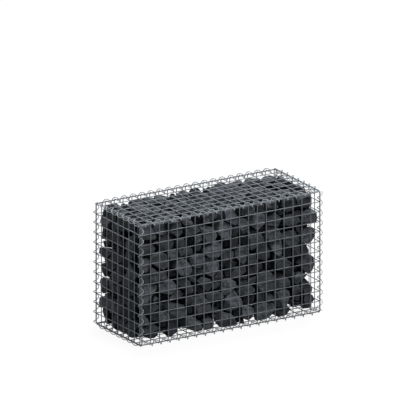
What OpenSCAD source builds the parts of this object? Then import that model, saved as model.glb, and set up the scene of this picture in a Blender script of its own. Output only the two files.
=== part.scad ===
// Gabion basket for a stone wall.
// Six panels of welded wire mesh form a box. A spiral binder, screwed through the mesh once
// in every cell, laces the two panels of each edge together. The box is filled with stone in
// courses. X is the length, Y the depth with the front at -Y, and Z is up from the ground.

/* [Basket] */
// Mesh cells along the length
cells_x = 20; // [8:1:30]
// Mesh cells along the depth
cells_y = 8; // [6:1:14]
// Mesh cells up the height
cells_z = 12; // [6:1:16]
// Mesh pitch, from wire to wire
mesh = 50; // [45:1:76.2]
// Diameter of the panel wire
wire_d = 4; // [3:0.5:4.5]
// Depth to which crossing wires are pressed into each other by the weld
weld_sink = 0.6; // [0.3:0.1:1]
// Play between the wires of two panels where they meet at an edge
edge_play = 0.3; // [0.2:0.1:0.4]

/* [Spiral binders] */
// Diameter of the spiral's wire
coil_wire_d = 4; // [3:0.5:4.5]
// Inside diameter of a spiral
coil_bore = 20; // [19:0.5:22]
// Turn by which a corner spiral stands off the outward diagonal at a level wire, in degrees
corner_lead = 45; // [0:45:90]
// Turn by which a front spiral stands off the outward diagonal at an upright wire, in degrees
front_lead = 45; // [0:45:90]

/* [Stone filling] */
// Usual length of a stone on the face
stone_len = 95; // [60:5:140]
// Depth of the notch between two stones on the face
stone_notch = 16; // [6:1:24]
// Play between the stones and the spirals
fill_play = 0.4; // [0.2:0.1:0.8]
// Play between one course and the next
course_play = 0.3; // [0.2:0.1:0.8]

/* [Hidden] */
NODES = [
    "base_mesh", "front_mesh", "back_mesh", "left_mesh", "right_mesh", "lid_mesh",
    "base_front_spiral", "base_back_spiral", "base_left_spiral", "base_right_spiral",
    "front_left_spiral", "front_right_spiral", "back_left_spiral", "back_right_spiral",
    "lid_front_spiral", "lid_back_spiral", "lid_left_spiral", "lid_right_spiral",
    "stone_course_1", "stone_course_2", "stone_course_3",
    "stone_course_4", "stone_course_5", "stone_course_6"
];

steel = [0.62, 0.64, 0.66];
spiral_steel = [0.72, 0.74, 0.76];
stone_dark = [0.24, 0.25, 0.27];
stone_light = [0.30, 0.31, 0.33];

// Overall mesh sizes, between the outermost wires of a panel
len_x = cells_x * mesh;
len_y = cells_y * mesh;
len_z = cells_z * mesh;

// Distance between the two layers of wire in a panel
layer = wire_d - weld_sink;
// Distance of a panel's inner wires outside the edge wires of its neighbours, which lie beside them
inner_out = (wire_d + edge_play) / sqrt(2);
// Distance of a panel's middle plane outside the edge wires of its neighbours
panel_out = inner_out + layer / 2;
// Length of wire past the middle of the edge wire, cut off short of the neighbouring panel
wire_end = inner_out - wire_d / 2 - edge_play;

// Radius of a spiral to the middle of its wire, and to its outside
coil_r = (coil_bore + coil_wire_d) / 2;
coil_out = coil_r + coil_wire_d / 2;
// Distance of a spiral's axis outside the mesh, midway between the edge wires that it holds
level_out = inner_out / 2;
corner_out = (inner_out + layer) / 2;
// Length of each corner cell that the level spirals leave to the corner spirals
coil_end = mesh / 2;
coil_sides = 5;
coil_steps = 8;

// Height of the lowest edge wires above the ground, so that the spirals stand on it
ground = coil_out + level_out;

// The stones bear on the spirals, and the lowest course rests on the base mesh
courses = len([for (name = NODES) if (name[0] == "s") name]);
fill_reach = coil_out + fill_play;
fill_in = fill_reach / sqrt(2) - corner_out;
fill_in_low = fill_reach - level_out;
fill_in_high = fill_reach / sqrt(2) - level_out;
fill_low = -inner_out + wire_d / 2 + course_play;
fill_high = len_z - fill_in_high;
course_h = (fill_high - fill_low) / courses;

// Straight wire along +X, of length l between its outermost welds
module wire(l) {
    translate([-wire_end, 0, 0])
        rotate([0, 90, 0])
            rotate([0, 0, 22.5])
                cylinder(d = wire_d, h = l + 2 * wire_end, $fn = 8);
}

// Welded panel in the XY plane, with the wires along Y laid on its outer side at +Z
module panel(nx, ny) {
    union() {
        for (j = [0 : ny])
            translate([0, j * mesh, -layer / 2])
                wire(nx * mesh);
        for (i = [0 : nx])
            translate([i * mesh, 0, layer / 2])
                rotate([0, 0, 90])
                    wire(ny * mesh);
    }
}

// Ring of points around the spiral's wire at height h, on a right-handed turn about Z
function coil_ring(h, lead) =
    let (a = 360 * h / mesh + lead,
         slope = atan2(mesh, 2 * PI * coil_r),
         mid = [coil_r * cos(a), coil_r * sin(a), h],
         out = [cos(a), sin(a), 0],
         side = [sin(a) * sin(slope), -cos(a) * sin(slope), cos(slope)])
    [for (s = [0 : coil_sides - 1])
        let (b = 360 * s / coil_sides)
        mid + coil_wire_d / 2 * (cos(b) * out + sin(b) * side)];

// Spiral about Z from height h0 to h1, at the angle lead where its height is zero
module spiral(h0, h1, lead) {
    n = round((h1 - h0) / mesh * coil_steps);
    rings = [for (k = [0 : n]) coil_ring(h0 + (h1 - h0) * k / n, lead)];
    points = [for (ring = rings) for (p = ring) p];
    skin = [for (k = [0 : n - 1]) for (s = [0 : coil_sides - 1])
        let (a = k * coil_sides + s,
             b = k * coil_sides + (s + 1) % coil_sides,
             c = a + coil_sides,
             d = b + coil_sides)
        each [[a, c, b], [b, c, d]]];
    start = [for (s = [0 : coil_sides - 1]) s];
    end = [for (s = [coil_sides - 1 : -1 : 0]) n * coil_sides + s];
    polyhedron(points, concat(skin, [start, end]));
}

// Spiral along X on the edge at side sy of the depth and side sz of the height
module spiral_x(sy, sz) {
    lead = atan2(sy, -sz) - (sy < 0 ? front_lead : 0);
    color(spiral_steel)
        translate([-len_x / 2, sy * (len_y / 2 + level_out), level(sz)])
            rotate([0, 90, 0])
                spiral(coil_end, len_x - coil_end, lead);
}

// Spiral along Y on the edge at side sx of the length and side sz of the height
module spiral_y(sx, sz) {
    color(spiral_steel)
        translate([sx * (len_x / 2 + level_out), -len_y / 2, level(sz)])
            rotate([-90, 0, 0])
                spiral(coil_end, len_y - coil_end, atan2(-sz, sx));
}

// Spiral up the corner at side sx of the length and side sy of the depth
module spiral_z(sx, sy) {
    color(spiral_steel)
        translate([sx * (len_x / 2 + corner_out), sy * (len_y / 2 + corner_out), ground])
            spiral(0, len_z, atan2(sy, sx) + sx * corner_lead);
}

// Height of a level spiral's axis above the ground, at the base or at the lid
function level(sz) = ground + (sz > 0 ? len_z + level_out : -level_out);

// Even spread of numbers from 0 to 1 that looks irregular, one for each k
function spread(k) = let (v = k * 0.6180339887) v - floor(v);

// Points along one face of a course, from the corner at the left to the one at the right
function stone_face(l, seed) =
    let (n = max(2, round(l / stone_len)),
         cut = [for (k = [0 : n])
             l * (k + (k > 0 && k < n ? 0.5 * (spread(seed + 3 * k) - 0.5) : 0)) / n])
    [for (k = [0 : n - 1])
        let (a = cut[k],
             b = cut[k + 1],
             corner = k == 0 || k == n - 1,
             proud = corner ? 0 : stone_notch * 0.5 * spread(seed + 5 * k + 2),
             bevel = min(stone_notch, (b - a) / 3))
        each concat(
            [k == 0 ? [0, 0] : [a, stone_notch]],
            k == 0 ? [] : [[a + bevel, proud]],
            k == n - 1 ? [] : [[b - bevel, proud]])];

// Turn a face's points to the side of the box it belongs to
function face_at(points, turn, l, w) =
    [for (p = points)
        let (x = p[0] - l / 2, y = p[1] - w / 2)
        [x * cos(turn) - y * sin(turn), x * sin(turn) + y * cos(turn)]];

// Course of stones number k, counted from the ground
module stone_course(k) {
    inset = k == 1 ? fill_in_low : k == courses ? fill_in_high : fill_in;
    fill_x = len_x - 2 * inset;
    fill_y = len_y - 2 * inset;
    outline = concat(
        face_at(stone_face(fill_x, 11 * k), 0, fill_x, fill_y),
        face_at(stone_face(fill_y, 11 * k + 3), 90, fill_y, fill_x),
        face_at(stone_face(fill_x, 11 * k + 5), 180, fill_x, fill_y),
        face_at(stone_face(fill_y, 11 * k + 8), 270, fill_y, fill_x));
    color(k % 2 == 0 ? stone_dark : stone_light)
        translate([0, 0, ground + fill_low + (k - 1) * course_h])
            linear_extrude(height = course_h - course_play)
                polygon(outline);
}

// The outer wires of the base and the lid run along Y
module base_mesh() {
    color(steel)
        translate([-len_x / 2, len_y / 2, ground - panel_out])
            rotate([180, 0, 0])
                panel(cells_x, cells_y);
}

module lid_mesh() {
    color(steel)
        translate([-len_x / 2, -len_y / 2, ground + len_z + panel_out])
            panel(cells_x, cells_y);
}

// The outer wires of the front and the back stand upright
module front_mesh() {
    color(steel)
        translate([-len_x / 2, -len_y / 2 - panel_out, ground])
            rotate([90, 0, 0])
                panel(cells_x, cells_z);
}

module back_mesh() {
    color(steel)
        translate([len_x / 2, len_y / 2 + panel_out, ground])
            rotate([90, 0, 180])
                panel(cells_x, cells_z);
}

// The outer wires of the two ends stand upright
module left_mesh() {
    color(steel)
        translate([-len_x / 2 - panel_out, len_y / 2, ground])
            rotate([90, 0, -90])
                panel(cells_y, cells_z);
}

module right_mesh() {
    color(steel)
        translate([len_x / 2 + panel_out, -len_y / 2, ground])
            rotate([90, 0, 90])
                panel(cells_y, cells_z);
}

module base_front_spiral() spiral_x(-1, -1);
module base_back_spiral() spiral_x(1, -1);
module base_left_spiral() spiral_y(-1, -1);
module base_right_spiral() spiral_y(1, -1);
module front_left_spiral() spiral_z(-1, -1);
module front_right_spiral() spiral_z(1, -1);
module back_left_spiral() spiral_z(-1, 1);
module back_right_spiral() spiral_z(1, 1);
module lid_front_spiral() spiral_x(-1, 1);
module lid_back_spiral() spiral_x(1, 1);
module lid_left_spiral() spiral_y(-1, 1);
module lid_right_spiral() spiral_y(1, 1);

module stone_course_1() stone_course(1);
module stone_course_2() stone_course(2);
module stone_course_3() stone_course(3);
module stone_course_4() stone_course(4);
module stone_course_5() stone_course(5);
module stone_course_6() stone_course(6);

base_mesh();
front_mesh();
back_mesh();
left_mesh();
right_mesh();
lid_mesh();
base_front_spiral();
base_back_spiral();
base_left_spiral();
base_right_spiral();
front_left_spiral();
front_right_spiral();
back_left_spiral();
back_right_spiral();
lid_front_spiral();
lid_back_spiral();
lid_left_spiral();
lid_right_spiral();
stone_course_1();
stone_course_2();
stone_course_3();
stone_course_4();
stone_course_5();
stone_course_6();
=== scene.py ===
"""Dresses a gabion basket: welded galvanised wire panels, spiral binders and a fill of broken basalt."""

import math
from itertools import combinations
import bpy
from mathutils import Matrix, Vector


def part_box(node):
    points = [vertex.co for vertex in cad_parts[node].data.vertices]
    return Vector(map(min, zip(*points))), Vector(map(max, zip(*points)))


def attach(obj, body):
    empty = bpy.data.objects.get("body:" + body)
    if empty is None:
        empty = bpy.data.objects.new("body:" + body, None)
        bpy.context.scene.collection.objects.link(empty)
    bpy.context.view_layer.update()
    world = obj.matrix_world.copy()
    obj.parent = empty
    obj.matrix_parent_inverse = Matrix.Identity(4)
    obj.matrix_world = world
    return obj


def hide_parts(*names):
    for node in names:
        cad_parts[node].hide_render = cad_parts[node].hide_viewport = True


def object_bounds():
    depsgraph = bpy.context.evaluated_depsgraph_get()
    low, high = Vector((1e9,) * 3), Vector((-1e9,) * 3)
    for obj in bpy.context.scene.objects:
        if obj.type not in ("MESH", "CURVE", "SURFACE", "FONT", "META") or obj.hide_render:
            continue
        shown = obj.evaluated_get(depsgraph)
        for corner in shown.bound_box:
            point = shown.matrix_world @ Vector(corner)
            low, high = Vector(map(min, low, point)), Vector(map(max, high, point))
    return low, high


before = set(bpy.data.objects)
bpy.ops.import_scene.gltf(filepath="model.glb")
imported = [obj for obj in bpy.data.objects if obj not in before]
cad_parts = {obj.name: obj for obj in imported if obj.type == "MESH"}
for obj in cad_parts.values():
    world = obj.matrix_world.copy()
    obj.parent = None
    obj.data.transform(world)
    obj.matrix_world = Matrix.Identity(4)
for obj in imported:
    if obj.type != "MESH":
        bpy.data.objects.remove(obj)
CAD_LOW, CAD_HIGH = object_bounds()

from types import SimpleNamespace

import bmesh
import bpy
import numpy as np
from bpy.props import FloatProperty, FloatVectorProperty, IntProperty, PointerProperty
from mathutils import Vector, noise

bl_info = {
    "name": "Gabion Basket",
    "version": (1, 0, 0),
    "blender": (4, 5, 0),
    "location": "3D View > Sidebar > Gabion",
    "description": "Builds a stone-filled gabion basket of welded wire panels laced with spiral binders",
    "category": "Add Mesh",
}

MM = 0.001

# The six welded panels: CAD node, axis square to the panel, and axis along which its outer wires run.
PANELS = (
    ("front_mesh", 1, 2),
    ("back_mesh", 1, 2),
    ("left_mesh", 0, 2),
    ("right_mesh", 0, 2),
    ("base_mesh", 2, 1),
    ("lid_mesh", 2, 1),
)

# The twelve spirals: CAD node, axis wound along, and the side of the basket on X, Y and Z (0 along the axis).
SPIRALS = (
    ("base_front_spiral", 0, (0, -1, -1)),
    ("base_back_spiral", 0, (0, 1, -1)),
    ("lid_front_spiral", 0, (0, -1, 1)),
    ("lid_back_spiral", 0, (0, 1, 1)),
    ("base_left_spiral", 1, (-1, 0, -1)),
    ("base_right_spiral", 1, (1, 0, -1)),
    ("lid_left_spiral", 1, (-1, 0, 1)),
    ("lid_right_spiral", 1, (1, 0, 1)),
    ("front_left_spiral", 2, (-1, -1, 0)),
    ("front_right_spiral", 2, (1, -1, 0)),
    ("back_left_spiral", 2, (-1, 1, 0)),
    ("back_right_spiral", 2, (1, 1, 0)),
)

COURSES = ("stone_course_1", "stone_course_2", "stone_course_3",
           "stone_course_4", "stone_course_5", "stone_course_6")

# Stones that show through the front, drawn at the wires: how far the face looks up to the light (3 the
# most, 0 a stone lying back in shade), then the corners of its outline along X and up (mm).
FRONT_STONES = (
    (3, (-494, 590), (-448, 592), (-427, 560), (-426, 532), (-444, 522), (-493, 524)),
    (1, (-425, 590), (-350, 590), (-346, 560), (-353, 545), (-400, 543), (-424, 556)),
    (2, (-344, 585), (-290, 586), (-262, 568), (-262, 550), (-345, 548)),
    (3, (-276, 588), (-205, 590), (-204, 564), (-224, 556), (-246, 560)),
    (0, (-192, 592), (-158, 592), (-158, 560), (-190, 556)),
    (2, (-344, 544), (-262, 544), (-260, 512), (-292, 508), (-312, 520)),
    (2, (-240, 540), (-182, 540), (-166, 520), (-168, 504), (-240, 502)),
    (1, (-396, 514), (-374, 530), (-344, 534), (-312, 512), (-310, 490), (-318, 458), (-394, 456)),
    (2, (-495, 498), (-440, 496), (-405, 466), (-412, 452), (-495, 452)),
    (1, (-432, 504), (-402, 506), (-400, 478)),
    (2, (-298, 494), (-255, 494), (-256, 456), (-296, 456)),
    (0, (-240, 492), (-208, 490), (-206, 458), (-240, 456)),
    (2, (-194, 494), (-164, 496), (-160, 466), (-176, 457), (-194, 464)),
    (2, (-496, 432), (-458, 422), (-448, 398), (-450, 360), (-494, 364)),
    (2, (-444, 426), (-420, 440), (-398, 438), (-352, 430), (-350, 376), (-374, 362), (-394, 370),
        (-440, 398)),
    (3, (-344, 430), (-320, 444), (-300, 440), (-290, 420), (-300, 404), (-334, 406)),
    (2, (-288, 444), (-250, 444), (-250, 406), (-276, 404)),
    (1, (-242, 444), (-212, 440), (-210, 408), (-242, 404)),
    (1, (-194, 444), (-160, 440), (-160, 418), (-192, 414)),
    (0, (-344, 398), (-312, 392), (-314, 372), (-330, 358), (-345, 362)),
    (1, (-444, 384), (-406, 354), (-444, 350)),
    (3, (-312, 370), (-290, 384), (-250, 384), (-240, 352), (-224, 332), (-232, 312), (-290, 316),
        (-312, 350)),
    (3, (-222, 374), (-205, 396), (-170, 399), (-148, 392), (-150, 360), (-166, 342), (-198, 344),
        (-216, 354)),
    (1, (-490, 336), (-450, 346), (-450, 304), (-490, 302)),
    (2, (-445, 345), (-402, 346), (-400, 308), (-444, 304)),
    (2, (-396, 344), (-352, 342), (-350, 306), (-394, 308)),
    (0, (-342, 342), (-304, 342), (-304, 312), (-340, 310)),
    (1, (-224, 322), (-204, 334), (-160, 328), (-152, 304), (-190, 296), (-222, 304)),
    (3, (-398, 300), (-345, 302), (-326, 290), (-305, 255), (-312, 236), (-344, 228), (-394, 240)),
    (3, (-493, 286), (-430, 286), (-404, 280), (-412, 258), (-426, 230), (-446, 208), (-493, 206)),
    (2, (-290, 290), (-258, 292), (-246, 272), (-212, 258), (-250, 248), (-290, 252)),
    (1, (-242, 297), (-208, 297), (-196, 276), (-206, 264), (-236, 276)),
    (2, (-420, 234), (-402, 222), (-396, 204), (-438, 204)),
    (2, (-342, 220), (-300, 238), (-262, 230), (-258, 214), (-280, 205), (-340, 203)),
    (1, (-246, 244), (-206, 244), (-204, 216), (-215, 207), (-246, 212)),
    (0, (-192, 244), (-162, 236), (-158, 212), (-190, 212)),
    (1, (-490, 194), (-412, 194), (-402, 172), (-412, 152), (-488, 154)),
    (1, (-394, 197), (-376, 186), (-386, 160), (-394, 160)),
    (0, (-390, 232), (-352, 222), (-352, 204), (-388, 206)),
    (3, (-376, 180), (-345, 190), (-300, 172), (-260, 154), (-258, 108), (-338, 106), (-344, 142)),
    (1, (-444, 146), (-404, 144), (-402, 108), (-440, 110)),
    (2, (-397, 146), (-352, 144), (-348, 106), (-397, 105)),
    (3, (-494, 144), (-476, 139), (-455, 108), (-455, 97), (-494, 95)),
    (0, (-246, 144), (-206, 140), (-206, 108), (-240, 104)),
    (1, (-246, 196), (-206, 194), (-202, 158), (-246, 156)),
    (3, (-190, 176), (-164, 192), (-146, 192), (-118, 138), (-107, 102), (-190, 99), (-194, 150)),
    (2, (-494, 90), (-425, 89), (-403, 74), (-402, 54), (-494, 54)),
    (0, (-398, 94), (-352, 92), (-352, 62), (-390, 62)),
    (0, (-404, 70), (-352, 66), (-350, 40), (-398, 42)),
    (1, (-350, 93), (-303, 93), (-299, 22), (-318, 13), (-345, 19), (-368, 38), (-362, 64)),
    (0, (-294, 94), (-262, 92), (-262, 72), (-290, 70)),
    (3, (-276, 58), (-236, 92), (-216, 94), (-180, 72), (-164, 58), (-173, 30), (-212, 22), (-256, 44)),
    (1, (-482, 47), (-404, 47), (-404, 30), (-424, 20), (-462, 28), (-480, 38)),
    (2, (-144, 592), (-100, 593), (-76, 584), (-74, 560), (-100, 555), (-143, 556)),
    (0, (-70, 592), (-48, 592), (-46, 556), (-70, 556)),
    (3, (-36, 580), (-26, 592), (46, 592), (52, 560), (46, 532), (20, 520), (0, 524), (-34, 546)),
    (1, (56, 590), (100, 594), (147, 588), (148, 552), (100, 550), (58, 556)),
    (1, (-142, 548), (-110, 544), (-104, 530), (-138, 540)),
    (3, (-168, 532), (-144, 536), (-106, 522), (-84, 510), (-78, 480), (-94, 458), (-140, 452),
        (-152, 482)),
    (0, (-96, 544), (-74, 544), (-76, 516), (-92, 522)),
    (3, (-70, 536), (-52, 545), (-30, 542), (0, 516), (20, 486), (8, 464), (-20, 454), (-44, 466),
        (-74, 502)),
    (3, (54, 520), (76, 533), (98, 526), (103, 500), (98, 462), (84, 454), (58, 478), (50, 500)),
    (1, (24, 506), (46, 504), (50, 478), (48, 458), (12, 456), (16, 480)),
    (3, (116, 505), (140, 542), (196, 547), (199, 505), (190, 478), (172, 467), (154, 478), (126, 488)),
    (0, (106, 548), (136, 548), (126, 528), (110, 522)),
    (3, (107, 470), (128, 477), (160, 466), (176, 440), (186, 416), (170, 396), (140, 372),
        (124, 362), (107, 400)),
    (1, (4, 444), (46, 445), (47, 403), (4, 403)),
    (0, (54, 442), (98, 442), (98, 405), (56, 404)),
    (0, (-40, 446), (-4, 446), (-4, 410), (-24, 404)),
    (3, (-146, 418), (-118, 436), (-90, 445), (-56, 440), (-32, 418), (-44, 398), (-60, 384),
        (-120, 376), (-146, 394)),
    (3, (-150, 350), (-128, 368), (-78, 373), (-64, 350), (-55, 308), (-80, 288), (-104, 278),
        (-147, 304)),
    (2, (-50, 390), (-10, 397), (26, 378), (27, 362), (10, 353), (-42, 351)),
    (2, (34, 372), (56, 394), (99, 395), (103, 352), (97, 330), (80, 314), (56, 328), (34, 350)),
    (0, (-48, 345), (32, 343), (46, 324), (40, 303), (-46, 303)),
    (2, (107, 346), (148, 345), (149, 303), (108, 303)),
    (3, (-181, 258), (-150, 281), (-106, 262), (-103, 232), (-116, 207), (-140, 209), (-166, 232)),
    (2, (-94, 274), (-62, 294), (-42, 289), (-35, 262), (-52, 252), (-94, 252)),
    (0, (-34, 296), (-2, 296), (-2, 256), (-26, 262)),
    (1, (4, 298), (46, 299), (97, 297), (99, 255), (50, 251), (6, 255)),
    (1, (105, 298), (150, 299), (177, 292), (181, 262), (150, 251), (105, 253)),
    (1, (-96, 242), (-58, 240), (-55, 214), (-92, 210)),
    (3, (-47, 222), (-32, 244), (-6, 250), (20, 243), (35, 226), (33, 200), (10, 180), (-8, 167),
        (-28, 171), (-47, 186)),
    (0, (46, 246), (98, 244), (92, 226), (54, 214)),
    (1, (58, 222), (98, 222), (99, 203), (57, 201)),
    (1, (107, 230), (149, 232), (149, 203), (107, 201)),
    (1, (-138, 191), (-56, 195), (-52, 158), (-118, 153), (-128, 172)),
    (3, (-31, 138), (8, 175), (44, 171), (66, 142), (77, 120), (66, 104), (36, 71), (0, 88), (-31, 108)),
    (2, (55, 196), (100, 198), (145, 194), (143, 161), (100, 153), (55, 155)),
    (0, (-96, 146), (-60, 146), (-58, 112), (-92, 108)),
    (1, (-90, 106), (-74, 118), (-60, 104), (-64, 84), (-92, 84)),
    (0, (82, 144), (142, 144), (144, 108), (88, 104)),
    (3, (-145, 66), (-118, 83), (-104, 64), (-91, 44), (-91, 24), (-106, 11), (-143, 17)),
    (0, (-186, 94), (-110, 96), (-108, 84), (-150, 74), (-184, 80)),
    (1, (-100, 82), (-66, 84), (-64, 64), (-90, 62)),
    (3, (-63, 74), (-40, 90), (-10, 77), (30, 54), (58, 26), (36, 11), (-20, 8), (-46, 14), (-61, 52)),
    (3, (55, 82), (98, 94), (135, 78), (139, 52), (128, 27), (106, 19), (72, 32), (53, 52)),
    (1, (58, 26), (80, 26), (80, 10), (58, 8)),
    (0, (2, 96), (54, 94), (56, 44), (26, 50)),
    (0, (34, 60), (70, 60), (78, 20), (40, 18)),
    (1, (155, 588), (197, 590), (199, 555), (155, 555)),
    (2, (205, 591), (273, 589), (276, 568), (262, 555), (205, 555)),
    (1, (280, 589), (354, 591), (366, 562), (352, 545), (342, 526), (328, 519), (312, 528),
        (298, 546), (280, 557)),
    (1, (364, 593), (454, 596), (461, 565), (457, 528), (440, 523), (408, 540), (376, 554)),
    (0, (206, 546), (248, 546), (248, 532), (208, 534)),
    (0, (256, 548), (298, 546), (300, 524), (272, 520)),
    (2, (207, 521), (240, 531), (268, 523), (290, 502), (297, 468), (286, 459), (250, 473), (205, 488)),
    (3, (200, 481), (238, 471), (271, 452), (285, 420), (285, 401), (206, 401), (189, 420), (186, 446)),
    (0, (156, 472), (190, 474), (200, 456), (176, 450)),
    (2, (303, 500), (330, 513), (392, 500), (399, 470), (391, 451), (308, 449), (298, 470)),
    (1, (360, 524), (397, 522), (398, 504), (358, 504)),
    (2, (403, 512), (456, 523), (485, 500), (493, 478), (482, 455), (452, 447), (408, 451)),
    (0, (358, 548), (398, 546), (400, 526), (360, 524)),
    (0, (370, 446), (398, 442), (396, 410), (384, 402), (370, 428)),
    (1, (304, 444), (346, 444), (346, 426), (310, 430)),
    (2, (296, 412), (318, 425), (364, 422), (385, 396), (389, 364), (372, 350), (324, 353), (304, 388)),
    (2, (403, 412), (440, 426), (468, 415), (480, 394), (479, 372), (466, 353), (440, 349),
        (408, 353), (399, 380)),
    (2, (153, 376), (174, 392), (204, 391), (223, 352), (225, 326), (194, 309), (157, 322)),
    (3, (228, 387), (286, 392), (295, 368), (288, 340), (266, 325), (246, 340), (231, 362)),
    (0, (304, 346), (342, 344), (348, 320), (340, 303), (306, 303)),
    (2, (355, 344), (397, 346), (399, 303), (357, 301)),
    (1, (405, 344), (434, 342), (443, 320), (441, 301), (405, 301)),
    (2, (250, 300), (262, 315), (300, 308), (330, 291), (347, 262), (340, 247), (300, 243),
        (260, 251), (247, 270)),
    (2, (373, 266), (412, 293), (452, 285), (481, 264), (479, 240), (456, 213), (430, 201),
        (408, 205), (397, 236)),
    (0, (354, 300), (396, 298), (392, 282), (360, 272)),
    (0, (184, 296), (240, 298), (244, 270), (210, 254), (188, 258)),
    (0, (358, 246), (396, 240), (384, 222), (358, 214)),
    (1, (305, 240), (341, 238), (347, 212), (330, 205), (307, 210)),
    (2, (151, 229), (178, 246), (240, 246), (251, 214), (236, 176), (210, 161), (160, 165), (149, 196)),
    (1, (257, 219), (296, 223), (335, 197), (337, 157), (261, 153)),
    (3, (363, 190), (386, 223), (408, 213), (431, 184), (412, 161), (390, 150), (370, 159)),
    (0, (404, 168), (440, 160), (450, 140), (404, 138)),
    (1, (359, 142), (396, 140), (398, 105), (361, 105)),
    (1, (407, 143), (446, 147), (459, 122), (452, 105), (417, 105)),
    (2, (257, 137), (276, 139), (330, 129), (345, 112), (337, 86), (322, 61), (300, 53),
        (261, 57), (251, 90)),
    (2, (205, 133), (222, 136), (245, 117), (251, 100), (205, 95)),
    (1, (155, 146), (196, 144), (198, 103), (157, 103)),
    (2, (155, 82), (200, 91), (242, 88), (252, 60), (240, 40), (224, 30), (206, 13), (159, 11),
        (151, 40)),
    (1, (250, 52), (300, 55), (343, 46), (322, 26), (292, 11), (270, 9), (256, 24)),
    (0, (328, 88), (350, 84), (350, 58), (330, 56)),
    (0, (344, 72), (404, 76), (404, 42), (350, 44)),
    (0, (358, 94), (394, 94), (396, 70), (380, 60), (360, 68)),
    (1, (407, 97), (448, 95), (469, 80), (479, 62), (464, 48), (444, 34), (420, 26), (402, 42)),
)

# Stones that show through the left end: place along Y, height, width, tallness (mm), light as above, and the
# lean of the stone in degrees.
LEFT_STONES = (
    (116, 562, 66, 52, 1, 0), (52, 562, 58, 52, 1, 0), (-20, 562, 86, 54, 1, 0), (-92, 564, 56, 52, 1, 0),
    (138, 514, 108, 56, 3, 0), (28, 510, 98, 54, 1, 10), (-96, 470, 58, 60, 3, 0), (4, 462, 60, 50, 2, 0),
    (164, 442, 92, 88, 1, 0), (58, 462, 50, 50, 1, 0), (103, 416, 46, 46, 0, 0), (4, 412, 58, 52, 1, 10),
    (-46, 455, 44, 50, 0, 0), (-96, 410, 56, 52, 2, 0), (148, 360, 110, 48, 2, 8), (28, 362, 100, 52, 1, 0),
    (-70, 366, 84, 46, 0, 0), (134, 318, 44, 38, 0, 0), (80, 316, 92, 52, 1, 0), (4, 314, 56, 52, 1, 0),
    (-44, 316, 42, 46, 0, 0), (-95, 318, 56, 48, 2, 0), (166, 272, 80, 64, 1, 0), (116, 264, 84, 56, 0, 0),
    (28, 262, 100, 46, 1, 5), (-70, 262, 86, 50, 2, 0), (150, 208, 100, 52, 2, -8), (66, 214, 64, 50, 1, 0),
    (4, 212, 58, 52, 2, 0), (-70, 214, 84, 50, 1, 0), (150, 170, 92, 38, 1, 0), (56, 166, 50, 46, 0, 0),
    (-14, 166, 86, 46, 1, 0), (-94, 166, 56, 50, 1, 0), (138, 110, 108, 62, 2, 6), (56, 116, 52, 52, 2, 0),
    (4, 116, 58, 50, 1, 0), (-70, 110, 84, 50, 1, 0), (118, 62, 80, 44, 1, 0), (28, 58, 98, 60, 1, 0),
    (-26, 30, 70, 48, 2, 0), (-108, 50, 90, 70, 2, 0), (108, 28, 60, 34, 0, 0), (118, 392, 64, 40, 0, 0),
    (60, 412, 44, 44, 0, 0), (112, 236, 70, 36, 0, 0), (106, 146, 76, 34, 0, 0), (66, 82, 60, 40, 0, 0),
    (92, 172, 44, 44, 0, 0), (150, 246, 60, 40, 0, 0), (160, 392, 60, 40, 0, 0),
)

# Stones along the back of the lid: place along X and Y, width, depth, light and lean as above.
LID_STONES = (
    (-425, 150, 78, 80, 2, 0), (-300, 155, 70, 80, 2, 0), (-236, 150, 72, 86, 2, 0),
    (-166, 150, 66, 74, 2, 0), (-48, 150, 58, 76, 2, 0), (22, 145, 50, 70, 1, 0), (82, 116, 62, 70, 2, 0),
    (158, 152, 66, 84, 2, 0),
    (236, 150, 60, 66, 2, 0), (305, 118, 62, 84, 2, 0), (348, 160, 50, 72, 2, 0), (430, 128, 72, 88, 2, 0),
    (-352, 96, 66, 66, 2, 0), (-106, 96, 62, 66, 2, 0), (-440, 72, 70, 72, 2, 0), (378, 76, 72, 60, 1, 0),
)

# For a stone's light from 0 to 3: lean of its main facet (degrees), tone from the dark to the light colour,
# which is painted light and shade, darker for a stone lying back in shade and lighter for one facing the
# light, and how far it lies back from the wires (mm), at the sides and at the lid.
LEANS = (-8, 4, 14, 26)
PAINTED_LIGHT_TONES = (0.18, 0.41, 0.57, 0.74)
SETBACKS = (38, 18, 8, 4)
LID_SETBACKS = (20, 12, 6, 4)

# How far a stone seen from the camera looks moved at the wires, for its depth behind them: across and up at
# the front, across at the left end. FACE_SINK is the share of a stone's depth at which its outline lies.
FRONT_DRIFT = (0.618, -0.383)
LEFT_DRIFT = 1.4
FACE_SINK = 0.13

# Drawn stones are swelled a little, since their edges wear off. Near the ends, where daylight shows past
# them, they lie less far back.
DRAWN_SWELL = 1.06
END_ROOM = 60 * MM
END_SETBACK = 0.3

# How a stone breaks: turn of its main facet and fall of the two beside it (degrees), the share of its reach
# at which those and the facets of its back lie, slope of its flanks, and spread of its tip, lean and tone.
FACET_TURN = 22
FACET_FALL = (28, 58)
MAIN_SHARE = (0.68, 0.78)
FALL_SHARE = (0.72, 0.92)
BACK_SHARE = (0.75, 0.95)
FLANK_SLOPE = (-0.28, 0.12)
TIP_SPREAD = 6
LEAN_SPREAD = 10
TONE_SPREAD = 0.12

# Random stones, from large to small as shares of the usual size. Those against a side: axis square to it,
# tries, tone (low at the lid, as painted shade), and room kept from the low and from the high ends of X, Y
# and Z (mm). Then those inside, whose low tone is painted shade where they show through the gaps.
FILL_SIZES = (1.0, 0.68, 0.48)
FILLED_SIDES = (
    (2, 1500, 0.29, (0, 0, 0), (30, 80, 0)),
    (0, 1500, 0.52, (0, 95, 12), (0, 0, 0)),
    (1, 2500, 0.52, (5, 0, 12), (0, 0, 35)),
)
SIDE_DEPTH = 8 * MM
SIDE_APART = 0.86
INSIDE_ROOM = (45, 70, 2)
INSIDE_TRIES = 9000
INSIDE_APART = 0.82
INSIDE_PAINTED_SHADE_TONE = 0.2

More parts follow.
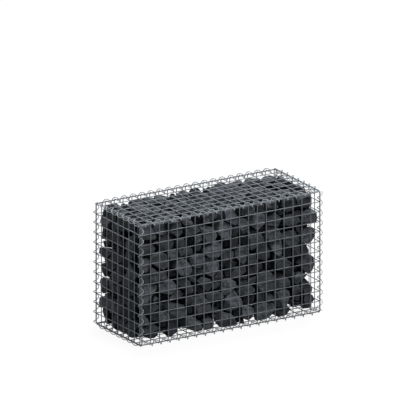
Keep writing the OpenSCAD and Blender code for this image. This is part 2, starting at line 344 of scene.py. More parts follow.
# Cutting: distance within which a wall of the basket can touch a stone, distance at which corners of a stone
# are drawn together, and the smallest stone that stays.
WALL_REACH = 120 * MM
CORNER_ROOM = 7 * MM
FEWEST_CORNERS = 5
SMALLEST_STONE = 18 * MM

# Broken faces: rounds of halving of edges longer than a length, and breadth of the hollows and of the pits.
HALVINGS = 2
LONG_EDGE = 14 * MM
HOLLOW = 26 * MM
PIT = 9 * MM

# Tones of faces: painted light on what looks up, difference between facets, and painted shade on the flanks.
PAINTED_TOP_LIGHT = 0.35
FACET_CONTRAST = 0.12
PAINTED_FLANK_SHADE = 0.42

# Lamps: direction to the lamp, breadth (degrees) and strength. The key lights the front, the fill the left
# end, and the top one, which stands a little behind, lights the lid and not the front.
LAMPS = (
    ("key", (0.20, -0.48, 0.854), 14, 1.6),
    ("fill", (-0.66, -0.20, 0.724), 40, 0.62),
    ("top", (0.22, 0.28, 0.934), 20, 3.1),
)


def linear(hex_code):
    """Linear RGBA of an sRGB hex code."""
    parts = [int(hex_code[i:i + 2], 16) / 255 for i in (1, 3, 5)]
    return tuple(p / 12.92 if p <= 0.04045 else ((p + 0.055) / 1.055) ** 2.4 for p in parts) + (1.0,)


class BasketSettings(bpy.types.PropertyGroup):
    """Sizes and colour of the welded panels and of the spirals that lace them."""

    mesh_pitch: FloatProperty(
        name="Mesh Pitch", description="Distance between neighbouring wires", default=50 * MM, unit="LENGTH")
    wire_size: FloatProperty(
        name="Wire Size", description="Diameter of the mesh and spiral wire", default=4 * MM, unit="LENGTH")
    spiral_pitch: FloatProperty(
        name="Spiral Pitch", description="Length of one turn of a spiral", default=50 * MM, unit="LENGTH")
    corner_lead: FloatProperty(
        name="Corner Lead", description="Turn by which a corner spiral stands off the outward diagonal",
        default=math.radians(45), subtype="ANGLE")
    front_lead: FloatProperty(
        name="Front Lead", description="Turn by which a front spiral stands off the outward diagonal",
        default=math.radians(45), subtype="ANGLE")
    weld_size: FloatProperty(
        name="Weld Size", description="Breadth of the weld bead where two wires cross", default=5.4 * MM,
        unit="LENGTH")
    weld_height: FloatProperty(
        name="Weld Height", description="Height of that bead, square to the panel", default=2.4 * MM,
        unit="LENGTH")
    mesh_colour: FloatVectorProperty(
        name="Mesh Colour", description="Zinc colour of the panels", default=linear("#868c93")[:3],
        subtype="COLOR", min=0, max=1)
    # The spirals' zinc is set lighter than the panels' zinc, a painted highlight on the same galvanised
    # steel.
    spiral_colour_with_painted_highlight: FloatVectorProperty(
        name="Spiral Colour", description="Zinc colour of the spirals", default=linear("#a6acb2")[:3],
        subtype="COLOR", min=0, max=1)


class StoneSettings(bpy.types.PropertyGroup):
    """Sizes and colours of the stone fill."""

    seed: IntProperty(name="Seed", description="Starts the random shapes", default=7)
    gap: FloatProperty(
        name="Gap", description="Room left between neighbouring stones", default=4.5 * MM, unit="LENGTH")
    edge: FloatProperty(
        name="Broken Edge", description="Width of the worn edge of a stone", default=1.3 * MM, unit="LENGTH")
    rough: FloatProperty(
        name="Unevenness", description="Depth of the hollows in a broken face", default=1.6 * MM,
        unit="LENGTH")
    size: FloatProperty(
        name="Stone Size", description="Usual size of a stone inside the fill", default=88 * MM,
        unit="LENGTH")
    # The tone attribute mixes between these two greys; part of that mix is painted light and shade, part a
    # random spread.
    dark: FloatVectorProperty(
        name="Dark Stone", description="Colour of the darkest stones", default=linear("#1b1d20")[:3],
        subtype="COLOR", min=0, max=1)
    light: FloatVectorProperty(
        name="Light Stone", description="Colour of the lightest stones", default=linear("#6e7277")[:3],
        subtype="COLOR", min=0, max=1)


class StageSettings(bpy.types.PropertyGroup):
    """Camera, light and floor."""

    azimuth: FloatProperty(
        name="Azimuth", description="Camera's turn round the basket", default=math.radians(-31.73),
        subtype="ANGLE")
    elevation: FloatProperty(
        name="Elevation", description="Camera's height above the horizon", default=math.radians(18.05),
        subtype="ANGLE")
    field: FloatProperty(
        name="Field", description="Width of the picture at the basket", default=1.9892, unit="LENGTH")
    headroom: FloatProperty(
        name="Headroom", description="How far the picture's middle lies above the basket's", default=0.2360,
        unit="LENGTH")
    distance: FloatProperty(
        name="Distance", description="How far off the camera stands", default=4.0, unit="LENGTH")
    floor_white: FloatProperty(
        name="Floor White", description="Share of plain white in the floor, over its shadow", default=0.93,
        subtype="FACTOR", min=0, max=1)
    ambient: FloatProperty(
        name="Ambient", description="Strength of the even light from all round", default=0.06, min=0)


def add_node(tree, kind, values=None, links=None, **settings):
    """Adds a node with its settings, socket values and links."""
    node = tree.nodes.new(kind)
    for name, value in settings.items():
        setattr(node, name, value)
    for socket, value in (values or {}).items():
        node.inputs[socket].default_value = value
    for socket, source in (links or {}).items():
        tree.links.new(source, node.inputs[socket])
    return node


def new_material(name):
    """An empty material and its node tree."""
    material = bpy.data.materials.new(name)
    material.use_nodes = True
    material.node_tree.nodes.clear()
    return material, material.node_tree


def spread(tree, pattern, low, high):
    """The middle of a noise pattern's range, where nearly all of it lies, spread between two factors."""
    values = {"From Min": 0.3, "From Max": 0.7, "To Min": low, "To Max": high}
    return add_node(tree, "ShaderNodeMapRange", values, {"Value": pattern.outputs["Fac"]}).outputs["Result"]


def zinc(name, colour):
    """Hot-dip galvanised wire: soft grey sheen, cloudy with zinc bloom, fine zinc grain in the bump. The dull
    bloom hides most of the bare metal, so little of it is left to mirror the room."""
    material, tree = new_material(name)
    place = add_node(tree, "ShaderNodeTexCoord").outputs["Object"]
    cloud = add_node(tree, "ShaderNodeTexNoise", {"Scale": 1 / (35 * MM), "Detail": 3.0}, {"Vector": place})
    speck = add_node(tree, "ShaderNodeTexNoise", {"Scale": 1 / (1.2 * MM), "Detail": 2.0}, {"Vector": place})
    shade = spread(tree, cloud, 0.82, 1.12)
    tint = add_node(tree, "ShaderNodeMix", {"Factor": 1.0, "A": (*colour, 1.0)}, {"B": shade},
                    data_type="RGBA", blend_type="MULTIPLY")
    sheen = add_node(tree, "ShaderNodeMapRange", {"To Min": 0.46, "To Max": 0.66},
                     {"Value": speck.outputs["Fac"]})
    bump = add_node(tree, "ShaderNodeBump", {"Strength": 0.25, "Distance": 0.1 * MM},
                    {"Height": speck.outputs["Fac"]})
    shader = add_node(tree, "ShaderNodeBsdfPrincipled", {"Metallic": 0.1, "Specular IOR Level": 0.25},
                      {"Base Color": tint.outputs["Result"], "Roughness": sheen.outputs["Result"],
                       "Normal": bump.outputs["Normal"]})
    add_node(tree, "ShaderNodeOutputMaterial", None, {"Surface": shader.outputs["BSDF"]})
    return material


def basalt(name, dark, light):
    """Broken basalt: each stone its own grey from its tone attribute, which also holds painted light and
    shade, dusty mottling, crystal grain that dulls the light. The real grain, under 1 mm, is too fine to
    show, so it is drawn from 10 mm down."""
    material, tree = new_material(name)
    place = add_node(tree, "ShaderNodeTexCoord").outputs["Object"]
    tone = add_node(tree, "ShaderNodeAttribute", attribute_name="tone")
    mottle = add_node(tree, "ShaderNodeTexNoise", {"Scale": 1 / (22 * MM), "Detail": 5.0, "Roughness": 0.6},
                      {"Vector": place})
    grain = add_node(tree, "ShaderNodeTexNoise", {"Scale": 1 / (10 * MM), "Detail": 6.0, "Roughness": 0.85},
                     {"Vector": place})
    chip = add_node(tree, "ShaderNodeTexNoise", {"Scale": 1 / (14 * MM), "Detail": 2.0}, {"Vector": place})
    shade = add_node(tree, "ShaderNodeMix", {"A": (*dark, 1.0), "B": (*light, 1.0)},
                     {"Factor": tone.outputs["Fac"]}, data_type="RGBA").outputs["Result"]
    for factor in (spread(tree, mottle, 0.8, 1.2), spread(tree, grain, 0.4, 1.6)):
        shade = add_node(tree, "ShaderNodeMix", {"Factor": 1.0}, {"A": shade, "B": factor},
                         data_type="RGBA", blend_type="MULTIPLY").outputs["Result"]
    chipped = add_node(tree, "ShaderNodeBump", {"Strength": 0.6, "Distance": 3 * MM},
                       {"Height": chip.outputs["Fac"]})
    bump = add_node(tree, "ShaderNodeBump", {"Strength": 0.8, "Distance": 1.6 * MM},
                    {"Height": grain.outputs["Fac"], "Normal": chipped.outputs["Normal"]})
    shader = add_node(tree, "ShaderNodeBsdfPrincipled", {"Roughness": 0.95, "Specular IOR Level": 0.12},
                      {"Base Color": shade, "Normal": bump.outputs["Normal"]})
    add_node(tree, "ShaderNodeOutputMaterial", None, {"Surface": shader.outputs["BSDF"]})
    return material


def sweep(path, sides_a, sides_b, radii, around):
    """Vertices and faces of a round bar along a path, whose two side directions are given at each point."""
    turn = np.arange(around) * 2 * math.pi / around
    ring = np.cos(turn)[:, None] * sides_a[:, None, :] + np.sin(turn)[:, None] * sides_b[:, None, :]
    verts = (path[:, None, :] + ring * radii[:, None, None]).reshape(-1, 3)
    faces = []
    for i in range(len(path) - 1):
        for k in range(around):
            n = (k + 1) % around
            faces.append((i * around + k, i * around + n, (i + 1) * around + n, (i + 1) * around + k))
    last = (len(path) - 1) * around
    faces.append(tuple(reversed(range(around))))
    faces.append(tuple(range(last, last + around)))
    return verts, faces


def straight_wire(start, end, axis, radius, around=12):
    """A straight cut wire with a slight chamfer at each end."""
    along = np.eye(3)[axis]
    side_a, side_b = np.eye(3)[(axis + 1) % 3], np.eye(3)[(axis + 2) % 3]
    chamfer = radius * 0.3
    path = np.array([start, start + along * chamfer, end - along * chamfer, end])
    return sweep(path, np.tile(side_a, (4, 1)), np.tile(side_b, (4, 1)),
                 np.array([radius - chamfer, radius, radius, radius - chamfer]), around)


def join(parts):
    """One list of vertices and faces from many."""
    verts, faces, count = [], [], 0
    for v, f in parts:
        verts.append(np.asarray(v, float))
        faces.extend(tuple(i + count for i in face) for face in f)
        count += len(v)
    return np.concatenate(verts), faces


def new_piece(name, parts, material, sharp):
    """A named mesh object made of joined parts."""
    verts, faces = join(parts)
    mesh = bpy.data.meshes.new(name)
    mesh.from_pydata(verts.tolist(), [], faces)
    mesh.materials.append(material)
    mesh.shade_smooth()
    mesh.set_sharp_from_angle(angle=math.radians(sharp))
    piece = bpy.data.objects.new(name, mesh)
    bpy.context.scene.collection.objects.link(piece)
    if mesh.validate():
        raise RuntimeError(f"{name} has faulty faces")
    return piece


def claim(piece, node):
    """The piece stands for a CAD node: it hangs from the root body, and the CAD node is hidden."""
    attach(piece, "root")
    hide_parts(node)


def weld_bead(centre, axis, breadth, height, around=8):
    """A low round bead of weld metal, flat along one axis."""
    side_a, side_b = np.eye(3)[(axis + 1) % 3], np.eye(3)[(axis + 2) % 3]
    levels = np.radians([-70, -35, 0, 35, 70])
    path = centre + np.sin(levels)[:, None] * np.eye(3)[axis] * height / 2
    return sweep(path, np.tile(side_a, (5, 1)), np.tile(side_b, (5, 1)), np.cos(levels) * breadth / 2, around)


def wire_flat(s):
    """Half the width of a CAD wire over its flats. The CAD wires are eight-sided, with flats on the box."""
    return s.wire_size / 2 * math.cos(math.pi / 8)


def basket_lines(s):
    """Half length, half depth and height of the mesh, height of its lowest edge wire, and how far the inner
    and the outer wires of a panel lie outside it."""
    front_low, front_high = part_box("front_mesh")
    left_low, left_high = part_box("left_mesh")
    flat = wire_flat(s)
    half_x = int((front_high.x - front_low.x) / s.mesh_pitch) * s.mesh_pitch / 2
    half_y = int((left_high.y - left_low.y) / s.mesh_pitch) * s.mesh_pitch / 2
    tall = int((front_high.z - front_low.z) / s.mesh_pitch) * s.mesh_pitch
    inner_out = flat - front_high.y - half_y
    outer_out = -front_low.y - flat - half_y
    return half_x, half_y, tall, front_low.z + flat, inner_out, outer_out


class GABION_OT_panels(bpy.types.Operator):
    """Builds the six welded wire panels of the basket"""

    bl_idname = "gabion.panels"
    bl_label = "Welded Panels"

    def execute(self, context):
        s = context.scene.gabion_basket
        material = zinc("Galvanised steel wire, drawn and hot-dipped", s.mesh_colour)
        for node, square, outer in PANELS:
            low, high = (np.array(v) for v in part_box(node))
            inner = 3 - square - outer
            outside = 1 if low[square] + high[square] > CAD_LOW[square] + CAD_HIGH[square] else -1
            face = high if outside > 0 else low
            flat = wire_flat(s)
            level_outer = face[square] - outside * flat
            level_inner = (low if outside > 0 else high)[square] + outside * flat
            rows = {}
            for axis in (outer, inner):
                span = high[axis] - low[axis]
                cells = int(span / s.mesh_pitch)
                first = low[axis] + (span - cells * s.mesh_pitch) / 2
                rows[axis] = first + np.arange(cells + 1) * s.mesh_pitch
            parts = []
            for axis, other, level in ((outer, inner, level_outer), (inner, outer, level_inner)):
                for place in rows[other]:
                    start, end = np.zeros(3), np.zeros(3)
                    start[[square, other, axis]] = level, place, low[axis]
                    end[[square, other, axis]] = level, place, high[axis]
                    parts.append(straight_wire(start, end, axis, s.wire_size / 2))
            for a in rows[outer]:
                for b in rows[inner]:
                    centre = np.zeros(3)
                    centre[[square, outer, inner]] = (level_outer + level_inner) / 2, a, b
                    parts.append(weld_bead(centre, square, s.weld_size, s.weld_height))
            piece = new_piece("welded_" + node, parts, material, sharp=40)
            claim(piece, node)
        return {"FINISHED"}


class GABION_OT_spirals(bpy.types.Operator):
    """Winds the twelve spirals that lace the panels along every edge"""

    bl_idname = "gabion.spirals"
    bl_label = "Spiral Binders"

    def execute(self, context):
        s = context.scene.gabion_basket
        material = zinc("Galvanised steel spiral, cold-wound and hot-dipped", s.spiral_colour_with_painted_highlight)
        radius = s.wire_size / 2
        half_x, half_y, tall, ground, inner_out, outer_out = basket_lines(s)
        middle = np.array((0, 0, ground + tall / 2))
        reach = np.array((half_x, half_y, tall / 2))
        winding = CAD_HIGH.z - ground - tall - inner_out / 2 - radius
        steps_per_turn = 32
        cut_end = 0.7
        for node, axis, sides in SPIRALS:
            low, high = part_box(node)
            whole = round((high[axis] - low[axis]) / (s.spiral_pitch / 2)) * s.spiral_pitch / 2
            first = (reach[axis] * 2 - whole) / 2
            sx, sy, sz = sides
            lead = (math.atan2(sy, -sz) - (s.front_lead if sy < 0 else 0), math.atan2(-sz, sx),
                    math.atan2(sy, sx) + sx * s.corner_lead)[axis]
            h = first + np.linspace(0, whole, int(round(whole / s.spiral_pitch * steps_per_turn)) + 1)
            turn = 2 * math.pi * h / s.spiral_pitch + lead
            along = np.eye(3)[axis]
            u = (np.array((0, 0, -1.0)), np.array((1.0, 0, 0)), np.array((1.0, 0, 0)))[axis]
            v = (np.array((0, 1.0, 0)), np.array((0, 0, -1.0)), np.array((0, 1.0, 0)))[axis]
            out = np.cos(turn)[:, None] * u + np.sin(turn)[:, None] * v
            tangent = (-np.sin(turn)[:, None] * u + np.cos(turn)[:, None] * v) * (
                2 * math.pi * winding / s.spiral_pitch) + along
            tangent /= np.linalg.norm(tangent, axis=1)[:, None]
            aside = (outer_out if axis == 2 else inner_out) / 2
            centre = middle + np.array(sides) * (reach + aside) - along * reach[axis]
            path = centre + along * h[:, None] + out * winding
            radii = np.full(len(path), radius)
            radii[[0, -1]] *= cut_end
            part = sweep(path, out, np.cross(tangent, out), radii, around=10)
            piece = new_piece("wound_" + node, [part], material, sharp=50)
            claim(piece, node)
        return {"FINISHED"}


def turned(rng):
    """A random turn about X, Y and Z, as a matrix."""
    angles = [rng.uniform(-1, 1) * math.pi for _ in range(3)]
    cx, cy, cz = (math.cos(a) for a in angles)
    sx, sy, sz = (math.sin(a) for a in angles)
    about_x = np.array(((1, 0, 0), (0, cx, -sx), (0, sx, cx)))
    about_y = np.array(((cy, 0, sy), (0, 1, 0), (-sy, 0, cy)))
    about_z = np.array(((cz, -sz, 0), (sz, cz, 0), (0, 0, 1)))
    return about_z @ about_y @ about_x


def block_reach(half, normals):
    """How far a block with rounded corners reaches in the given directions."""
    return (np.abs(half * normals) ** 1.25).sum(-1) ** 0.8


def ragged_outline(rng, half):
    """Outline of a stone as directions across and up, each with its distance from the middle."""
    sides = rng.integers(4, 7)
    start = rng.uniform(0, 2 * math.pi)
    outline = []
    for k in range(sides):
        about = start + k * 2 * math.pi / sides + rng.uniform(-0.36, 0.36)
        side = np.array((math.cos(about), math.sin(about)))
        outline.append((side, block_reach(half[:2], side) * rng.uniform(0.84, 1.0)))
    return outline


def drawn_outline(points):
    """Outline of a stone from the corners drawn round its middle, made convex where it isn't."""
    outline = []
    for p, q in zip(points, np.roll(points, -1, axis=0)):
        side = np.array((p[1] - q[1], q[0] - p[0])) / np.linalg.norm(q - p)
        if side @ p < 0:
            side = -side
        outline.append((side, (points @ side).max()))
    return outline


def broken_stone(rng, middle, half, across, up, out, outline, tip, tone):
    """A stone as flat cuts round its middle. Steep cuts give its outline, three facets its face, the main one
    tipped up by an angle, and three more its back."""
    yaw = math.radians(rng.uniform(-FACET_TURN, FACET_TURN))
    main = out * math.cos(tip) * math.cos(yaw) + up * math.sin(tip) + across * math.cos(tip) * math.sin(yaw)
    cuts = [(main, rng.uniform(*MAIN_SHARE))]
    start = rng.uniform(0, 2 * math.pi)
    for k in range(2):
        about = start + k * math.pi + rng.uniform(-0.9, 0.9)
        slope = math.tan(math.radians(rng.uniform(*FACET_FALL)))
        falling = main + (across * math.cos(about) + up * math.sin(about)) * slope
        cuts.append((falling, rng.uniform(*FALL_SHARE)))
    for k in range(3):
        about = start + k * 2 * math.pi / 3
        side = across * math.cos(about) + up * math.sin(about)
        cuts.append((side * rng.uniform(0.3, 1.0) - out, rng.uniform(*BACK_SHARE)))
    normals = np.array([n / np.linalg.norm(n) for n, _ in cuts])
    local = normals @ np.stack((across, up, out), 1)
    distances = block_reach(half, local) * np.array([share for _, share in cuts])
    sides = np.array([across * d[0] + up * d[1] + out * rng.uniform(*FLANK_SLOPE) for d, _ in outline])
    lengths = np.linalg.norm(sides, axis=1)
    return SimpleNamespace(
        middle=middle,
        normals=np.vstack((normals, sides / lengths[:, None])),
        distances=np.append(distances, np.array([d for _, d in outline]) / lengths),
        size=half.mean(),
        tone=tone + rng.uniform(-TONE_SPREAD, TONE_SPREAD),
        out=out)


def add_cuts(stone, cuts):
    """Cuts a stone on further planes, each a normal and its distance from the stone's middle."""
    if cuts:
        stone.normals = np.vstack((stone.normals, [n for n, _ in cuts]))
        stone.distances = np.append(stone.distances, [d for _, d in cuts])


def corners(normals, distances):
    """Corner points of the solid that a set of flat cuts leaves."""
    i, j, k = np.array(list(combinations(range(len(normals)), 3))).T
    a, b, c = normals[i], normals[j], normals[k]
    bc = np.cross(b, c)
    det = np.einsum("ij,ij->i", a, bc)
    ok = np.abs(det) > 1e-3
    a, b, c, bc, det = a[ok], b[ok], c[ok], bc[ok], det[ok]
    i, j, k = i[ok], j[ok], k[ok]
    points = (distances[i][:, None] * bc + distances[j][:, None] * np.cross(c, a)
              + distances[k][:, None] * np.cross(a, b)) / det[:, None]
    inside = (points @ normals.T <= distances + 1e-7).all(1)
    return points[inside]


def thinned(points, reach):
    """Points with those closer than reach drawn together."""
    kept = []
    for p in points:
        for q in kept:
            if np.linalg.norm(q - p) < reach:
                break
        else:
            kept.append(p)
    return np.array(kept)


def drawn_stones(rng, marks, across, up, out, plane, reach, drift):
    """Stones behind one side of the basket, from outlines drawn on its wires. Seen from the camera, a stone
    lying deeper looks moved across and up, which drift makes good."""
    stones = []
    for light, *points in marks:
        points = np.array(points) * MM
        deep = np.ptp(points, axis=0).mean() * rng.uniform(0.85, 1.1)
        back = SETBACKS[light] * MM * rng.uniform(0.5, 1.0)
        if np.abs(points[:, 0]).max() > reach - END_ROOM:
            back *= END_SETBACK
        points += np.array(drift) * (back + deep * FACE_SINK)
        middle = (points.min(0) + points.max(0)) / 2
        points = middle + (points - middle) * DRAWN_SWELL
        points[:, 0] = points[:, 0].clip(-reach, reach)
        middle = (points.min(0) + points.max(0)) / 2
        half = np.append(np.ptp(points, axis=0), deep) / 2
        centre = across * middle[0] + up * middle[1] + out * (plane - back - deep / 2)
        tip = math.radians(LEANS[light] + rng.uniform(-TIP_SPREAD, TIP_SPREAD))
        outline = drawn_outline(points - middle)
        stones.append(broken_stone(rng, centre, half, across, up, out, outline, tip, PAINTED_LIGHT_TONES[light]))
    return stones


def face_stones(rng, marks, across, up, out, plane, reach, *, drift, setbacks, swell, depth_share, lean_share,
                painted_shade_share):
    """Stones laid against one side of the basket, from marks read one by one. Drift moves a deeper stone
    across, as for drawn ones, and the shares fit depth, lean and tone to the side."""
    stones = []
    for u, v, wide, tall, light, lean in marks:
        deep = (wide + tall) / 2 * MM * rng.uniform(*depth_share)
        back = setbacks[light] * MM * rng.uniform(0.5, 1.0)
        u += drift * (back + deep * FACE_SINK) / MM
        over = max(0.0, abs(u) + wide / 2 - reach / MM)
        u -= math.copysign(over / 2, u)
        wide, tall = (wide - over) * MM, tall * MM
        centre = across * u * MM + up * v * MM + out * (plane - back - deep / 2)
        tip = math.radians(LEANS[light] * lean_share + rng.uniform(-TIP_SPREAD, TIP_SPREAD))
        a = math.radians(lean + rng.uniform(-LEAN_SPREAD, LEAN_SPREAD))
        along = across * math.cos(a) + up * math.sin(a)
        above = up * math.cos(a) - across * math.sin(a)
        half = np.array((wide, tall, deep)) / 2 * swell
        outline = ragged_outline(rng, half)
        # The tone share darkens a whole side, the left end and more so the lid, as painted shade.
        tone = PAINTED_LIGHT_TONES[light] * painted_shade_share
        stones.append(broken_stone(rng, centre, half, along, above, out, outline, tip, tone))
    return stones


def fill_stones(rng, stones, size, low, high, tries, apart, tone, out=None):
    """Adds stones at random places, no nearer to those already laid than a share of their common size."""
    places = np.array([s.middle for s in stones])
    sizes = np.array([s.size for s in stones])
    for _ in range(tries):
        p = low + (high - low) * rng.random(3)
        half = size / 2 * rng.uniform(0.78, 1.12, 3)
        if (np.linalg.norm(places - p, axis=1) < apart * (sizes + half.mean())).any():
            continue
        if out is None:
            axes = turned(rng)
        else:
            axes = np.stack((np.roll(out, 1), np.cross(out, np.roll(out, 1)), out), 1)
        stones.append(broken_stone(rng, p, half, *axes.T, ragged_outline(rng, half), 0.0, tone))
        places = np.vstack((places, p))
        sizes = np.append(sizes, half.mean())


def lay_stones(size, half_x, half_y, tall, front, left, lid, inside):
    """Every stone before it is cut to its place: those that show at the front, at the left end and along the
    back of the lid, then random ones against the other sides and inside. Each group draws from its own random
    source."""
    x, y, z = np.eye(3)
    stones = drawn_stones(front, FRONT_STONES, x, z, -y, half_y - 1 * MM, half_x - 4 * MM, FRONT_DRIFT)
    # The left end and the lid take a lower tone share: painted shade over the stones of that side.
    stones += face_stones(
        left, LEFT_STONES, y, z, -x, half_x - 1 * MM, half_y - 2 * MM, drift=LEFT_DRIFT, setbacks=SETBACKS,
        swell=1.16, depth_share=(1.0, 1.3), lean_share=1.0, painted_shade_share=0.84)
    stones += face_stones(
        lid, LID_STONES, x, y, z, tall - 2 * MM, half_x - 6 * MM, drift=0.0, setbacks=LID_SETBACKS,
        swell=1.04, depth_share=(0.8, 1.0), lean_share=-0.3, painted_shade_share=0.55)
    low, high = np.array((-half_x, -half_y, 0)), np.array((half_x, half_y, tall))
    for share in FILL_SIZES:
        rim = size * share * 0.46
        for axis, tries, tone, low_room, high_room in FILLED_SIDES:
            near, far = low + rim, high - rim
            near[axis] = far[axis] - SIDE_DEPTH
            near += np.array(low_room) * MM
            far -= np.array(high_room) * MM
            fill_stones(inside, stones, size * share, near, far, tries, SIDE_APART, tone, np.eye(3)[axis])
        near, far = low + rim + np.array(INSIDE_ROOM) * MM, high - rim - 10 * MM
        fill_stones(inside, stones, size * share, near, far, INSIDE_TRIES, INSIDE_APART, INSIDE_PAINTED_SHADE_TONE)
    return stones


def basket_walls(half_x, half_y, tall, level_clear, corner_clear):
    """Cuts that keep stones within the wires and clear of the spirals on every edge."""
    cuts = []
    lows, highs = (-half_x, -half_y, 0.0), (half_x, half_y, tall)
    for k in range(3):
        n = np.eye(3)[k]
        cuts += [(n, highs[k]), (-n, -lows[k])]
    for a, b, clear in ((0, 1, corner_clear), (0, 2, level_clear), (1, 2, level_clear)):
        for sa in (-1, 1):
            for sb in (-1, 1):
                n = (np.eye(3)[a] * sa + np.eye(3)[b] * sb) / math.sqrt(2)
                brink = n[a] * (highs[a] if sa > 0 else lows[a]) + n[b] * (highs[b] if sb > 0 else lows[b])
                cuts.append((n, brink - clear))
    return cuts


def part_neighbours(stones, gap):
    """Cuts every pair of stones that would overlap on one plane between them."""
    shapes = [corners(s.normals, s.distances) for s in stones]
    reaches = [np.linalg.norm(p, axis=1).max() for p in shapes]
    extra = [[] for _ in stones]
    for i, j in combinations(range(len(stones)), 2):
        line = stones[j].middle - stones[i].middle
        d = np.linalg.norm(line)
        if d >= reaches[i] + reaches[j]:
            continue
        n = line / d
        ri, rj = (shapes[i] @ n).max(), (shapes[j] @ -n).max()
        if ri + rj > d - gap:
            cut = d * ri / (ri + rj)
            extra[i].append((n, cut - gap / 2))
            extra[j].append((-n, d - cut - gap / 2))
    for stone, cuts in zip(stones, extra):
        add_cuts(stone, cuts)


def stone_mesh(points, edge, rough, offset):
    """Vertices and faces of one stone: worn edges and shallow hollows in its broken faces."""
    bm = bmesh.new()
    for p in points:
        bm.verts.new(p)
    hull = bmesh.ops.convex_hull(bm, input=bm.verts)
    spare = [g for g in hull["geom_interior"] + hull["geom_unused"] if isinstance(g, bmesh.types.BMVert)]
    bmesh.ops.delete(bm, geom=list(set(spare)), context="VERTS")
    bmesh.ops.dissolve_limit(bm, angle_limit=math.radians(8), verts=bm.verts, edges=bm.edges)
    bmesh.ops.bevel(
        bm, geom=bm.edges[:], offset=edge, segments=1, profile=0.6, affect="EDGES", clamp_overlap=True)
    bmesh.ops.triangulate(bm, faces=bm.faces)
    for _ in range(HALVINGS):
        long_edges = [e for e in bm.edges if e.calc_length() > LONG_EDGE]
        bmesh.ops.subdivide_edges(bm, edges=long_edges, cuts=1, use_grid_fill=True)
        bmesh.ops.triangulate(bm, faces=bm.faces)
    bm.normal_update()
    # Faces only ever sink, so that a stone stays within its cuts and clear of its neighbours.
    for v in bm.verts:
        place = v.co + offset
        wave = noise.noise(place / HOLLOW) + noise.noise(place / PIT) * 0.4
        v.co -= v.normal * rough * max(0.0, 0.45 + wave * 0.6)
    bmesh.ops.recalc_face_normals(bm, faces=bm.faces)
    bm.verts.index_update()
    verts = np.array([v.co for v in bm.verts])
    faces = [tuple(v.index for v in f.verts) for f in bm.faces]
    bm.free()
    return verts, faces


def face_tones_with_painted_light(verts, faces, tone, out, streak):
    """Tone of every face of a stone: painted light where it looks out or up, painted shade where it turns in
    to meet others, and a little different from facet to facet."""
    a, b, c = verts[np.array(faces)].transpose(1, 0, 2)
    normals = np.cross(b - a, c - a)
    normals /= np.linalg.norm(normals, axis=1)[:, None] + 1e-12
    # Faces that look out or up are painted lighter, and faces turned into the gaps are painted darker:
    # painted light and shade.
    painted_light_mask = normals @ out + PAINTED_TOP_LIGHT * normals[:, 2].clip(0, None)
    facet = FACET_CONTRAST * np.sin(normals @ streak)
    painted_shade_mask = 1 - ((painted_light_mask - 0.05) / 0.5).clip(0, 1)
    return (tone + facet - PAINTED_FLANK_SHADE * painted_shade_mask).tolist()


class GABION_OT_stones(bpy.types.Operator):
    """Fills the basket with broken stones, cut so that none runs into another"""

    bl_idname = "gabion.stones"
    bl_label = "Stone Fill"

    def execute(self, context):
        s = context.scene.gabion_stones
        b = context.scene.gabion_basket
        *groups, faces_of = (np.random.default_rng(s.seed + k) for k in range(5))
        half_x, half_y, tall, ground, inner_out, outer_out = basket_lines(b)
        stones = lay_stones(s.size, half_x, half_y, tall, *groups)

        spiral_reach = CAD_HIGH.z - ground - tall - inner_out / 2
        level_clear = spiral_reach + 1 * MM - inner_out / math.sqrt(2)
        corner_clear = spiral_reach + 1 * MM - outer_out / math.sqrt(2)
        walls = basket_walls(half_x, half_y, tall, level_clear, corner_clear)
        for stone in stones:
            cuts = [(n, d - n @ stone.middle) for n, d in walls]
            add_cuts(stone, [(n, d) for n, d in cuts if d < WALL_REACH])
        part_neighbours(stones, s.gap)

        course_parts = [[] for _ in COURSES]
        course_tones = [[] for _ in COURSES]
        for stone in stones:
            points = corners(stone.normals, stone.distances)
            if len(points) >= FEWEST_CORNERS:
                points = thinned(points, CORNER_ROOM)
            if len(points) < FEWEST_CORNERS or np.ptp(points, axis=0).min() < SMALLEST_STONE:
                continue
            offset = Vector(faces_of.uniform(-5, 5, 3))
            # A stone whose worn edges would fold its faces onto one another gets narrower ones.
            for worn in (s.edge, s.edge / 2, s.edge / 4):
                verts, faces = stone_mesh(points, worn, s.rough, offset)
                if len({frozenset(f) for f in faces}) == len(faces):
                    break
            course = min(len(COURSES) - 1, max(0, int(stone.middle[2] / tall * len(COURSES))))
            course_parts[course].append((verts + stone.middle + np.array((0, 0, ground)), faces))
            streak = faces_of.uniform(-4, 4, 3)
            course_tones[course] += face_tones_with_painted_light(verts, faces, stone.tone, stone.out, streak)
        material = basalt("Basalt, broken in the quarry", s.dark, s.light)
        for node, parts, tones in zip(COURSES, course_parts, course_tones):
            piece = new_piece("basalt_" + node, parts, material, sharp=17)
            piece.data.attributes.new("tone", "FLOAT", "FACE").data.foreach_set("value", tones)
            claim(piece, node)
        return {"FINISHED"}


def seen_rays(tree):
    """1 for rays of the camera and for those that metal or glass sends on, otherwise 0."""
    path = add_node(tree, "ShaderNodeLightPath")
    seen = path.outputs["Is Camera Ray"]
    for kind in ("Is Glossy Ray", "Is Transmission Ray"):
        seen = add_node(tree, "ShaderNodeMath", None, {0: seen, 1: path.outputs[kind]},
                        operation="MAXIMUM").outputs[0]
    return seen


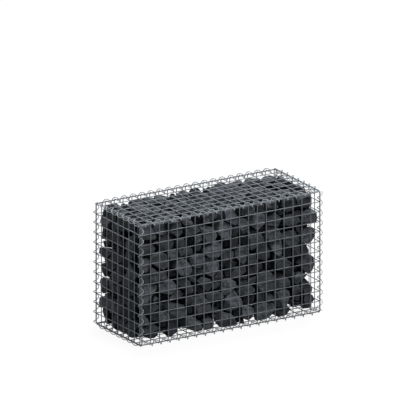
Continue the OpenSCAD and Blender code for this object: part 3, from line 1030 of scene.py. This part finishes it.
class GABION_OT_stage(bpy.types.Operator):
    """Sets the camera, the soft studio light and the pale floor"""

    bl_idname = "gabion.stage"
    bl_label = "Studio Stage"

    def execute(self, context):
        s = context.scene.gabion_stage
        scene = context.scene
        a, e = s.azimuth, s.elevation
        back = Vector((math.sin(a) * math.cos(e), -math.cos(a) * math.cos(e), math.sin(e)))
        up = Vector((-math.sin(a) * math.sin(e), math.cos(a) * math.sin(e), math.cos(e)))
        camera = bpy.data.objects.new("camera", bpy.data.cameras.new("camera"))
        scene.collection.objects.link(camera)
        scene.camera = camera
        camera.data.type = "ORTHO"
        camera.data.ortho_scale = s.field
        camera.rotation_mode = "QUATERNION"
        camera.rotation_quaternion = (-back).to_track_quat("-Z", "Y")
        camera.location = (CAD_LOW + CAD_HIGH) / 2 + up * s.headroom + back * s.distance
        camera.data.clip_end = 60

        for name, source, breadth, power in LAMPS:
            lamp = bpy.data.objects.new(name, bpy.data.lights.new(name, "SUN"))
            lamp.data.angle = math.radians(breadth)
            lamp.data.energy = power
            lamp.rotation_mode = "QUATERNION"
            lamp.rotation_quaternion = (-Vector(source)).to_track_quat("-Z", "Y")
            scene.collection.objects.link(lamp)

        world = bpy.data.worlds.new("studio")
        scene.world = world
        world.use_nodes = True
        tree = world.node_tree
        tree.nodes.clear()
        soft = add_node(tree, "ShaderNodeBackground", {"Color": linear("#ffffff"), "Strength": s.ambient})
        white = add_node(tree, "ShaderNodeBackground", {"Color": linear("#ffffff"), "Strength": 1.0})
        mix = add_node(tree, "ShaderNodeMixShader", None,
                       {0: seen_rays(tree), 1: soft.outputs[0], 2: white.outputs[0]})
        add_node(tree, "ShaderNodeOutputWorld", None, {"Surface": mix.outputs[0]})

        half = 30
        mesh = bpy.data.meshes.new("floor")
        square = ((-half, -half), (half, -half), (half, half), (-half, half))
        mesh.from_pydata([(x, y, CAD_LOW.z) for x, y in square], [], [(0, 1, 2, 3)])
        floor = bpy.data.objects.new("floor", mesh)
        scene.collection.objects.link(floor)
        # The floor is white to the eye. To light that strikes it unseen it is grey, so that it throws less up
        # between the stones.
        material, tree = new_material("Paper floor, matt white")
        seen = seen_rays(tree)
        share = add_node(tree, "ShaderNodeMath", {1: s.floor_white}, {0: seen}, operation="MULTIPLY")
        shade = add_node(tree, "ShaderNodeMix", {"A": linear("#7a7a7a"), "B": linear("#fafafa")},
                         {"Factor": seen}, data_type="RGBA")
        paper = add_node(tree, "ShaderNodeBsdfDiffuse", None, {"Color": shade.outputs["Result"]})
        plain = add_node(tree, "ShaderNodeEmission", {"Color": linear("#ffffff"), "Strength": 1.0})
        mix = add_node(tree, "ShaderNodeMixShader", None,
                       {0: share.outputs[0], 1: paper.outputs[0], 2: plain.outputs[0]})
        add_node(tree, "ShaderNodeOutputMaterial", None, {"Surface": mix.outputs[0]})
        mesh.materials.append(material)

        scene.view_settings.view_transform = "Standard"
        return {"FINISHED"}


class GABION_PT_sidebar(bpy.types.Panel):
    """Lists the steps that build the basket"""

    bl_label = "Gabion Basket"
    bl_idname = "GABION_PT_sidebar"
    bl_space_type = "VIEW_3D"
    bl_region_type = "UI"
    bl_category = "Gabion"

    def draw(self, context):
        scene = context.scene
        for settings in (scene.gabion_basket, scene.gabion_stones, scene.gabion_stage):
            box = self.layout.box()
            for name in settings.__annotations__:
                box.prop(settings, name)
        for step in STEPS:
            self.layout.operator(step.bl_idname)


STEPS = (GABION_OT_panels, GABION_OT_spirals, GABION_OT_stones, GABION_OT_stage)
SETTINGS = (
    ("gabion_basket", BasketSettings),
    ("gabion_stones", StoneSettings),
    ("gabion_stage", StageSettings),
)


def register():
    for name, group in SETTINGS:
        bpy.utils.register_class(group)
        setattr(bpy.types.Scene, name, PointerProperty(type=group))
    for step in (*STEPS, GABION_PT_sidebar):
        bpy.utils.register_class(step)


def unregister():
    for step in reversed((*STEPS, GABION_PT_sidebar)):
        bpy.utils.unregister_class(step)
    for name, group in reversed(SETTINGS):
        delattr(bpy.types.Scene, name)
        bpy.utils.unregister_class(group)


def main():
    register()
    bpy.ops.gabion.panels()
    bpy.ops.gabion.spirals()
    bpy.ops.gabion.stones()
    bpy.ops.gabion.stage()
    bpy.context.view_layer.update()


if __name__ == "__main__":
    main()
